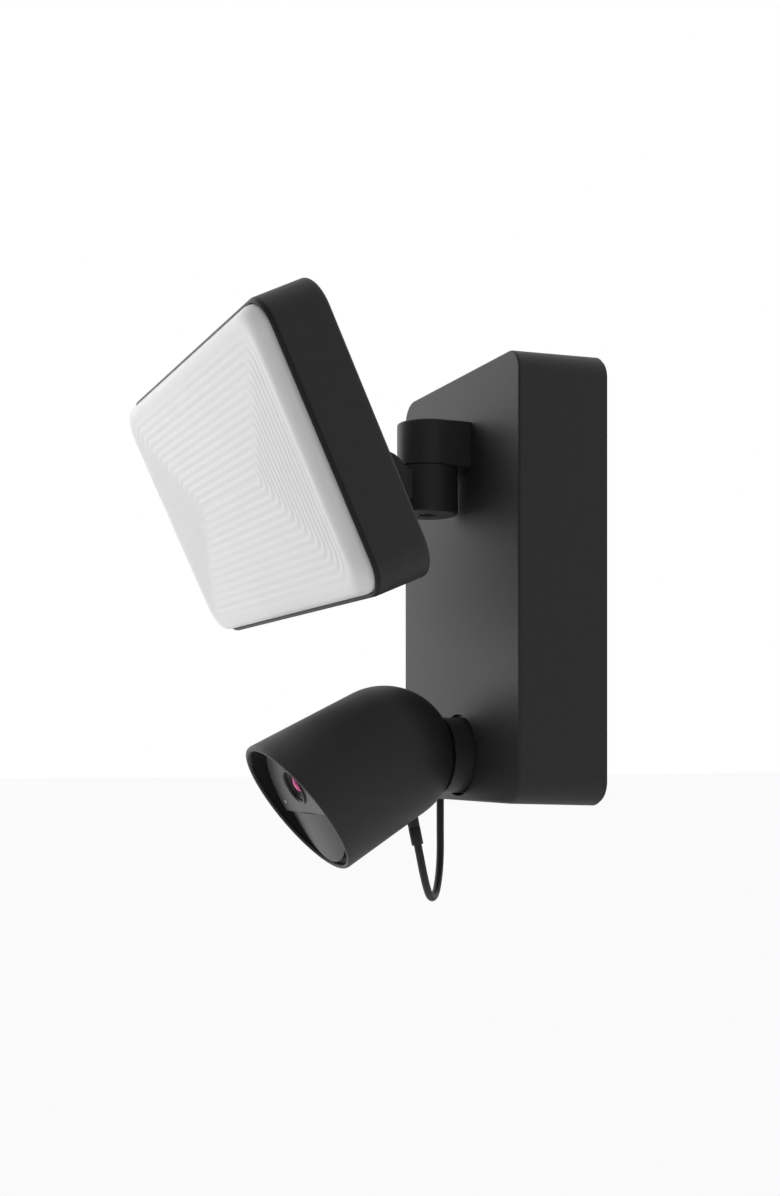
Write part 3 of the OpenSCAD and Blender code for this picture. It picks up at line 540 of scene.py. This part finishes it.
def coated_glass(name):
    """Lens glass with a magenta anti-reflection coating; the diffuse share of its magenta base colour is a painted
    magenta reflection.
    """
    material, tree, shader = new_material(name)
    shader.inputs["Roughness"].default_value = 0.1
    shader.inputs["Metallic"].default_value = 0.55
    shader.inputs["Specular IOR Level"].default_value = 0.8
    shader.inputs["Specular Tint"].default_value = (1.0, 0.3, 0.65, 1)
    shader.inputs["Coat Weight"].default_value = 0.3
    # Magenta base colour: it tints the coating's metallic reflection, and its diffuse share is painted magenta
    # reflection.
    add_mottle(tree, shader, (0.48, 0.02, 0.19), 260, 0.2)
    add_grain(tree, shader, 900, 0.000002)
    return material


def circuit(name, mask, trace):
    """Solder mask with a grid of lighter tracks."""
    material, tree, shader = new_material(name)
    shader.inputs["Roughness"].default_value = 0.32
    place = tree.nodes.new("ShaderNodeTexCoord")
    bricks = tree.nodes.new("ShaderNodeTexBrick")
    bricks.inputs["Scale"].default_value = 160
    bricks.inputs["Mortar Size"].default_value = 0.012
    bricks.inputs["Color1"].default_value = (*mask, 1)
    bricks.inputs["Color2"].default_value = (*[c * 0.85 for c in mask], 1)
    bricks.inputs["Mortar"].default_value = (*trace, 1)
    tree.links.new(place.outputs["Object"], bricks.inputs["Vector"])
    tree.links.new(bricks.outputs["Color"], shader.inputs["Base Color"])
    add_grain(tree, shader, 1500, 0.00001)
    return material


def make_materials():
    return {
        "charcoal": textured("charcoal", (0.028, 0.028, 0.0285), 0.53),
        # Painted shade: a darker copy of the charcoal for the casing's front lip band, standing in for the shadow gap
        # round the diffuser and the shaded front edge.
        "lip": textured("lip", (0.012, 0.012, 0.0125), 0.5, specular=0.3),
        # Painted shade: the camera mouth's inside wall, near black and darker than the shell's charcoal, where the
        # recess lies in shade.
        "mouth_shade": textured("mouth_shade", (0.006, 0.006, 0.006), 0.6, specular=0.15),
        "cast": textured("cast", (0.034, 0.034, 0.035), 0.47, grain=3400, height=0.000015),
        "face": textured("face", (0.075, 0.075, 0.077), 0.5, grain=3000, height=0.00001),
        "pir": textured("pir", (0.03, 0.03, 0.031), 0.5, grain=1800, height=0.000004),
        "lens_black": textured("lens_black", (0.008, 0.008, 0.009), 0.4, grain=4000, height=0.000004),
        "rubber": textured("rubber", (0.014, 0.014, 0.015), 0.55, grain=3800),
        "zinc": textured("zinc", (0.5, 0.5, 0.51), 0.36, grain=1900, height=0.00001, mottle=0.1,
                         metallic=1.0),
        "steel": textured("steel", (0.07, 0.07, 0.073), 0.4, height=0.00001, mottle=0.12, metallic=1.0),
        "aluminium": textured("aluminium", (0.66, 0.67, 0.68), 0.33, grain=2400, height=0.00001,
                              metallic=1.0),
        "nickel": textured("nickel", (0.6, 0.59, 0.57), 0.22, grain=1500, height=0.000004, metallic=1.0),
        "inner": textured("inner", (0.045, 0.045, 0.048), 0.6),
        "cream": textured("cream", (0.62, 0.6, 0.52), 0.5),
        "nylon": textured("nylon", (0.55, 0.55, 0.52), 0.55),
        "phosphor": textured("phosphor", (0.8, 0.62, 0.16), 0.3, grain=2200, height=0.00001),
        "status": textured("status", (0.6, 0.61, 0.62), 0.3, grain=2200, height=0.000004),
        "opal": opal("opal"),
        "glass": coated_glass("glass"),
        "green_board": circuit("green_board", (0.01, 0.09, 0.04), (0.04, 0.22, 0.1)),
        "white_board": circuit("white_board", (0.74, 0.74, 0.72), (0.6, 0.6, 0.58)),
    }


# Each node's finish. The camera's shell and the floodlight's casing get theirs where they are made.
FINISH = {
    "wall_plate": "zinc", "wall_gasket": "rubber", "housing_cover": "charcoal", "cover_screws": "zinc",
    "power_supply": "inner", "terminal_block": "cream", "main_board": "green_board",
    "light_arm": "cast", "arm_screws": "zinc", "swivel_bolt": "steel", "camera_collar": "cast",
    "collar_screws": "zinc", "collar_magnet": "nickel", "cup_liner": "rubber", "cable_grommet": "rubber",
    "camera_cable": "rubber", "swivel_barrel": "cast", "swivel_washer": "nylon",
    "driver_cover": "charcoal", "driver_screws": "steel",
    "driver_board": "green_board", "head_yoke": "cast", "yoke_screws": "steel", "tilt_bolt": "steel",
    "tilt_nut": "steel", "tilt_washers": "nylon", "heat_spreader": "aluminium",
    "led_board": "white_board", "leds": "phosphor", "diffuser": "opal", "diffuser_seal": "rubber",
    "magnet_keeper": "zinc", "camera_face": "face", "pir_window": "pir",
    "camera_chassis": "inner", "pir_sensor": "nickel", "lens_ring": "lens_black",
    "lens_barrel": "lens_black", "lens_glass": "glass", "image_board": "green_board",
    "camera_board": "green_board", "status_light": "status", "speaker": "inner",
    "microphone": "nickel", "plug_socket": "inner", "camera_plug": "rubber"}


def dress(piece, material):
    """One finish on the whole piece."""
    piece.data.materials.clear()
    piece.data.materials.append(material)


def dress_in_two(piece, material, other, frame_of_piece, is_other):
    """Two finishes on one piece, told apart by where a face lies in the piece's own frame."""
    piece.data.materials.append(material)
    piece.data.materials.append(other)
    inverse = frame_of_piece.inverted()
    for face in piece.data.polygons:
        if is_other(inverse @ face.center):
            face.material_index = 1


# ---- Pieces ----


def smooth_route(points, steps):
    """A Catmull-Rom curve through the points."""
    ends = [points[0] * 2 - points[1]] + points + [points[-1] * 2 - points[-2]]
    line = []
    for i in range(1, len(ends) - 2):
        a, b, c, d = ends[i - 1], ends[i], ends[i + 1], ends[i + 2]
        for k in range(steps):
            t = k / steps
            line.append(0.5 * (2 * b + (c - a) * t + (2 * a - 5 * b + 4 * c - d) * t ** 2
                               + (3 * b - a - 3 * c + d) * t ** 3))
    line.append(points[-1])
    return line


def tube(line, radius, sides):
    """Rings along a line, each turned as little as possible from the one before."""
    side = Vector((1, 0, 0))
    rings = []
    for i, point in enumerate(line):
        ahead = (line[min(i + 1, len(line) - 1)] - line[max(i - 1, 0)]).normalized()
        side = (side - ahead * side.dot(ahead)).normalized()
        other = ahead.cross(side)
        turns = [2 * math.pi * k / sides for k in range(sides)]
        rings.append([point + radius * (math.cos(t) * side + math.sin(t) * other) for t in turns])
    return rings


def make_stretch(name, rings, first, second, start, end):
    """A stretch of the lead that bends across the joint between two bodies."""
    verts, faces = loft(rings)
    stretch = make_piece(name, verts, faces, None, crease=50)
    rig.replaces(stretch, "camera_cable")
    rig.blend(stretch, first, second, start=start, end=end)
    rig.slot(stretch, "soft_black")
    return stretch


def make_cable():
    """The lead: its plug end bends with the pan joint, and the rest with the tilt joint."""
    line = smooth_route([Vector(p) * MM for p in CABLE_ROUTE], ROUTE_STEPS)
    rings = tube(line, CABLE_R, CABLE_SIDES)
    inside_plug = [point + (line[0] - line[1]).normalized() * LEAD_IN_PLUG for point in rings[0]]
    near = make_stretch("camera_lead_end", [inside_plug] + rings[:PAN_RINGS + 1], "magnet_keeper",
                        "camera", line[PAN_RINGS], line[0])
    rest = make_stretch("camera_lead", rings[PAN_RINGS:], "housing", "magnet_keeper",
                        line[-STILL_RINGS], line[PAN_RINGS])
    return rest, near, line[PAN_RINGS:]


def length_of(line):
    """The length of a line of points."""
    return sum((line[i + 1] - line[i]).length for i in range(len(line) - 1))


def make_plug():
    """Overmoulded plug: a round grip with a shallow groove and a rounded end."""
    root = 0.2 * MM
    groove = PLUG_L - 10.5 * MM
    groove_w = 0.9 * MM
    groove_r = PLUG_R - 0.14 * MM
    groove_side = groove_w / 3
    profile = [(2 * root, root), (PLUG_R - root, root), (PLUG_R, 2 * root), (PLUG_R, groove),
               (groove_r, groove + groove_side), (groove_r, groove + groove_w - groove_side),
               (PLUG_R, groove + groove_w), (PLUG_R, PLUG_L - 0.35 * MM),
               (PLUG_R - 0.1 * MM, PLUG_L - 0.12 * MM), (PLUG_R - 0.35 * MM, PLUG_L - 0.02 * MM),
               (CABLE_R - root, PLUG_L)]
    verts, faces = loft(revolve(profile, 48))
    plug = make_piece("lead_plug", verts, faces, "camera", IN_PLUG)
    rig.replaces(plug, "camera_plug")
    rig.slot(plug, "soft_black")
    return plug


def cone_radius(s):
    """The barrel's outer radius at a distance along the camera's axis."""
    return DOME_R / math.cos(TAPER) + s * math.tan(TAPER)


def rim_lip_s(up):
    """Where the rim's lip begins at a height of up, from -1 at the bottom to 1 at the top."""
    return RIM_S + math.tan(RIM_SLANT) * up * cone_radius(RIM_S) - RIM_LIP


def camera_ring(radius_at, s_at):
    """A ring round the camera's axis whose radius and distance along the axis depend on height."""
    ring = []
    for k in range(SHELL_SIDES):
        turn = 2 * math.pi * k / SHELL_SIDES
        up = math.sin(turn)
        radius = radius_at(up)
        ring.append((radius * math.cos(turn), radius * up, s_at(up)))
    return ring


def dome_rings():
    """The round rear, up to the ring before the barrel begins."""
    steps = 28
    tip = 1
    end = 90 - math.degrees(TAPER)
    turns = [turn for turn in arc(steps, tip, 90 + math.degrees(TAPER)) if turn <= math.radians(end)]
    return [camera_ring(lambda up: DOME_R * math.sin(turn), lambda up: -DOME_R * math.cos(turn))
            for turn in turns]


def barrel_rings():
    """The widening side, from the dome to the lip."""
    steps = 24
    seam = -DOME_R * math.sin(TAPER)
    rings = []
    for i in range(1, steps + 1):
        share = i / steps

        def s_at(up):
            return seam + (rim_lip_s(up) - seam) * share
        rings.append(camera_ring(lambda up: cone_radius(s_at(up)), s_at))
    return rings


def lip_rings():
    """The lip, a rounded half turn from the outside of the rim to its inside."""
    rings = []
    for turn in arc(10, 0, 180)[1:]:
        across = math.copysign(abs(math.cos(turn)) ** RIM_LIP_ROUND, math.cos(turn))
        along = RIM_LIP * math.sin(turn) ** RIM_LIP_ROUND

        def radius_at(up):
            outer = cone_radius(rim_lip_s(up))
            middle = (outer + LIP_IN_R) / 2
            return middle + (outer - middle) * across
        rings.append(camera_ring(radius_at, lambda up: rim_lip_s(up) + along))
    return rings


def mouth_rings(floor_s):
    """The inside wall, which narrows from the lip to the floor."""
    steps = 8
    rings = []
    for i in range(1, steps + 1):
        share = i / steps
        radius = LIP_IN_R + (MOUTH_R - LIP_IN_R) * share

        def s_at(up):
            return rim_lip_s(up) + (floor_s - rim_lip_s(up)) * share
        rings.append(camera_ring(lambda up: radius, s_at))
    return rings


def make_camera_shell():
    """Dome, widening barrel and slanted rim with a round lip, and the inside as far as the face."""
    floor_s = FACE_S - MOUTH_PAST_FACE
    verts, faces = loft(dome_rings() + barrel_rings() + lip_rings() + mouth_rings(floor_s))
    shell = make_piece("camera_barrel", verts, faces, "camera", IN_CAMERA, crease=60)
    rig.replaces(shell, "camera_shell")
    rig.slot(shell, "charcoal_shell")
    # The inside wall of the mouth takes the near-black finish: painted shade in the recess.
    wall_r = LIP_IN_R + 0.02 * MM
    wall_end = floor_s - 0.1 * MM
    dress_in_two(shell, materials["charcoal"], materials["mouth_shade"], IN_CAMERA,
                 lambda spot: spot.z > wall_end and math.hypot(spot.x, spot.y) < wall_r)


def make_head_shell():
    """Casing of the floodlight: thin lip, round front edge, leaning sides and flat back."""
    side = HEAD_D - HEAD_FRONT_EDGE - HEAD_BACK_EDGE
    side_steps = 5
    rings = []

    def ring(inset, y):
        lean = HEAD_DRAFT * (y - HEAD_FRONT) / HEAD_D
        rings.append(rounded_ring(HEAD_W + 2 * (lean - inset), HEAD_H + 2 * (lean - inset),
                                  HEAD_R + lean - inset, y, HEAD_MID))

    ring(LIP, HEAD_FRONT + POCKET)
    ring(LIP, HEAD_FRONT + LIP_CORNER)
    ring(LIP - LIP_CHAMFER, HEAD_FRONT + LIP_CHAMFER)
    for turn in arc(8, 0, 90):
        ring((LIP - LIP_CORNER) * (1 - math.sin(turn)), HEAD_FRONT + HEAD_FRONT_EDGE * (1 - math.cos(turn)))
    for i in range(1, side_steps + 1):
        ring(0, HEAD_FRONT + HEAD_FRONT_EDGE + side * i / side_steps)
    for turn in arc(6, 0, 90)[1:]:
        ring(HEAD_BACK_EDGE * (1 - math.cos(turn)), HEAD_BACK - HEAD_BACK_EDGE * (1 - math.sin(turn)))
    verts, faces = loft(rings)
    shell = make_piece("head_casing", verts, faces, "light_head", IN_HEAD)
    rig.replaces(shell, "head_housing")
    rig.slot(shell, "charcoal_shell")
    # Faces near the front take the darker lip finish: painted shade for the shadow gap round the diffuser and the
    # shaded front edge.
    dress_in_two(shell, materials["charcoal"], materials["lip"], IN_HEAD,
                 lambda spot: spot.y < HEAD_FRONT + LIP_SHADE_BAND)


def make_diffuser():
    """Opal cover with a soft edge, a plain border and concentric waves down to a middle line."""
    crown = HEAD_FRONT - DIFFUSER_RISE
    corner_shrink = 0.3
    least_corner = 5 * MM
    half_line = 0.2 * MM
    step = WAVE_PITCH / WAVE_STEPS
    rings = []

    def ring(inset, y):
        w, h = DIFFUSER_W - 2 * inset, DIFFUSER_H - 2 * inset
        r = min(max(DIFFUSER_R - inset * corner_shrink, least_corner), h / 2 - 0.01 * MM)
        rings.append(rounded_ring(w, h, r, y, HEAD_MID, corner=10))

    ring(0, HEAD_FRONT + POCKET - DIFFUSER_SEAT)
    for turn in arc(12, 0, 90):
        ring(DIFFUSER_EDGE * (1 - math.cos(turn)), crown + DIFFUSER_EDGE * (1 - math.sin(turn)))
    ring((DIFFUSER_EDGE + BORDER) / 2, crown)
    for i in range(int((DIFFUSER_H / 2 - half_line - BORDER) / step) + 1):
        wave = WAVE_HEIGHT * 0.5 * (1 - math.cos(2 * math.pi * i / WAVE_STEPS))
        ring(BORDER + i * step, crown + min(1, i / WAVE_STEPS) * wave)
    verts, faces = loft(rings)
    cover = make_piece("diffuser_cover", verts, faces, "light_head", IN_HEAD, crease=60)
    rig.replaces(cover, "diffuser")
    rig.slot(cover, "diffuser_white")
    return cover


def make_turned(name, node, slot, outline, sides=96, crease=28, capped=True):
    """A turned piece of the lens, from its outline of radius and distance along the axis."""
    verts, faces = loft(revolve(outline, sides), capped, capped)
    place = IN_CAMERA @ Matrix.Translation((0, LENS_UP, 0))
    piece = make_piece(name, verts, faces, "camera", place, crease)
    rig.replaces(piece, node)
    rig.slot(piece, slot)
    return piece


def in_metres(outline):
    """An outline given in millimetres, in metres."""
    return [(radius * MM, s * MM) for radius, s in outline]


def make_lens():
    """The domed front glass, the stepped black throat round it and the bezel."""
    top = FACE_S - GLASS_SET_BACK
    edge_turn = math.degrees(math.asin(GLASS_R / GLASS_BULGE_R))
    dome = [(GLASS_BULGE_R * math.sin(turn), top - GLASS_BULGE_R * (1 - math.cos(turn)))
            for turn in arc(14, 0.5, edge_turn)]
    back = [(GLASS_R, top - GLASS_DEPTH)]
    glass = make_turned("front_element", "lens_glass", "lens_coated", dome + back, sides=64, crease=35)
    throat = [(8.4, 41), (8.4, 51.2), (8.2, 51.5), (7.9, 51.5), (7.6, 51.2), (7.3, 50.7), (7.0, 50.6),
              (6.7, 50.2), (6.4, 50.1), (6.1, 49.8), (5.8, 49.7), (5.7, 49.4), (5.7, 46)]
    barrel = make_turned("lens_throat", "lens_barrel", "lens_black", in_metres(throat))
    bezel = [(8.6, 47.5), (10.3, 47.5), (10.3, 52.5), (10.1, 52.9), (9.8, 53.0), (9.3, 52.9), (8.9, 52.4),
             (8.6, 51.9), (8.6, 47.5)]
    ring = make_turned("lens_bezel", "lens_ring", "lens_black", in_metres(bezel), capped=False)
    return glass, barrel, ring


# ---- Build ----

make_camera()
materials = make_materials()
cable, cable_end, cable_line = make_cable()
plug = make_plug()
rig.cord(cable, exit=cable_line[-1], length=length_of(cable_line), diameter=2 * CABLE_R,
        far_end="plug", stiffness="medium", lay="hanging", path=cable_line[::-1],
        with_pieces=[cable_end, plug])
dress(cable_end, materials[FINISH["camera_cable"]])
make_studio()

make_camera_shell()
make_head_shell()
diffuser = make_diffuser()
glass, throat, bezel = make_lens()
built = {"camera_cable": cable, "camera_plug": plug, "diffuser": diffuser, "lens_glass": glass,
         "lens_barrel": throat, "lens_ring": bezel}
for node, finish in FINISH.items():
    dress(built.get(node, NODES[node]), materials[finish])

json.dump({"cad": CAD_BOX, "visual": [list(corner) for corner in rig.bounds()]},
          open("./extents.json", "w"))
